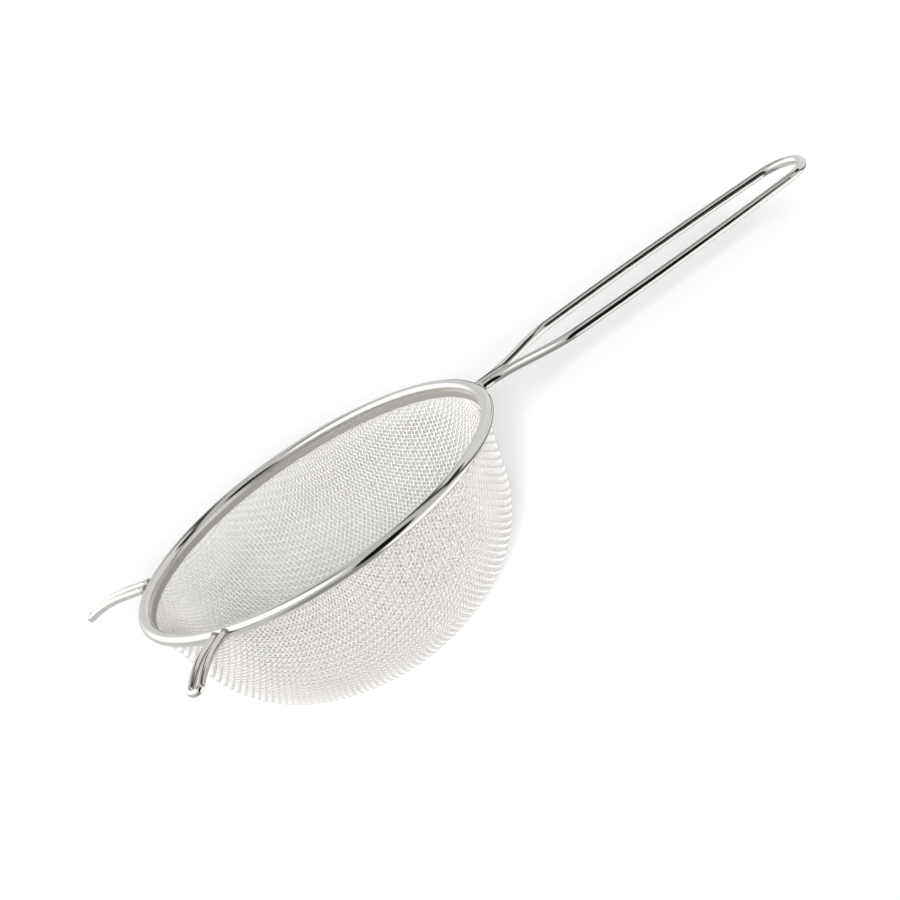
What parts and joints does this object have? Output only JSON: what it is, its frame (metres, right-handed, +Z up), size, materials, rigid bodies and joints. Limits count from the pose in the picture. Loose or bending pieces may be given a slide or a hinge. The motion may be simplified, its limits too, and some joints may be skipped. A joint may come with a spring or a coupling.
{
  "type": "mesh strainer",
  "caption": "Round woven-wire strainer bowl in a rolled steel rim, with a hairpin wire handle and wire rests that hang on a pot's edge.",
  "frame": {"origin": "centre of the small flat that the bowl stands on, under the middle of the rim", "axes": "+Z up out of the bowl's mouth, square to the rim; +X from the bowl towards the handle's loop"},
  "size_m": [0.3307, 0.16, 0.0723],
  "materials": {
    "rim_band": "polished stainless strip",
    "rim_core_wire": "drawn wire",
    "mesh_bowl": "plain-weave stainless wire cloth",
    "handle_wire": "polished stainless wire",
    "foot": "polished stainless wire"
  },
  "bodies": {
    "root": {"rim_band": "rim_band", "rim_core_wire": "rim_core_wire", "mesh_bowl": "mesh_bowl", "handle_wire": "handle_wire", "foot_left": "foot", "foot_right": "foot"}
  },
  "joints": []
}
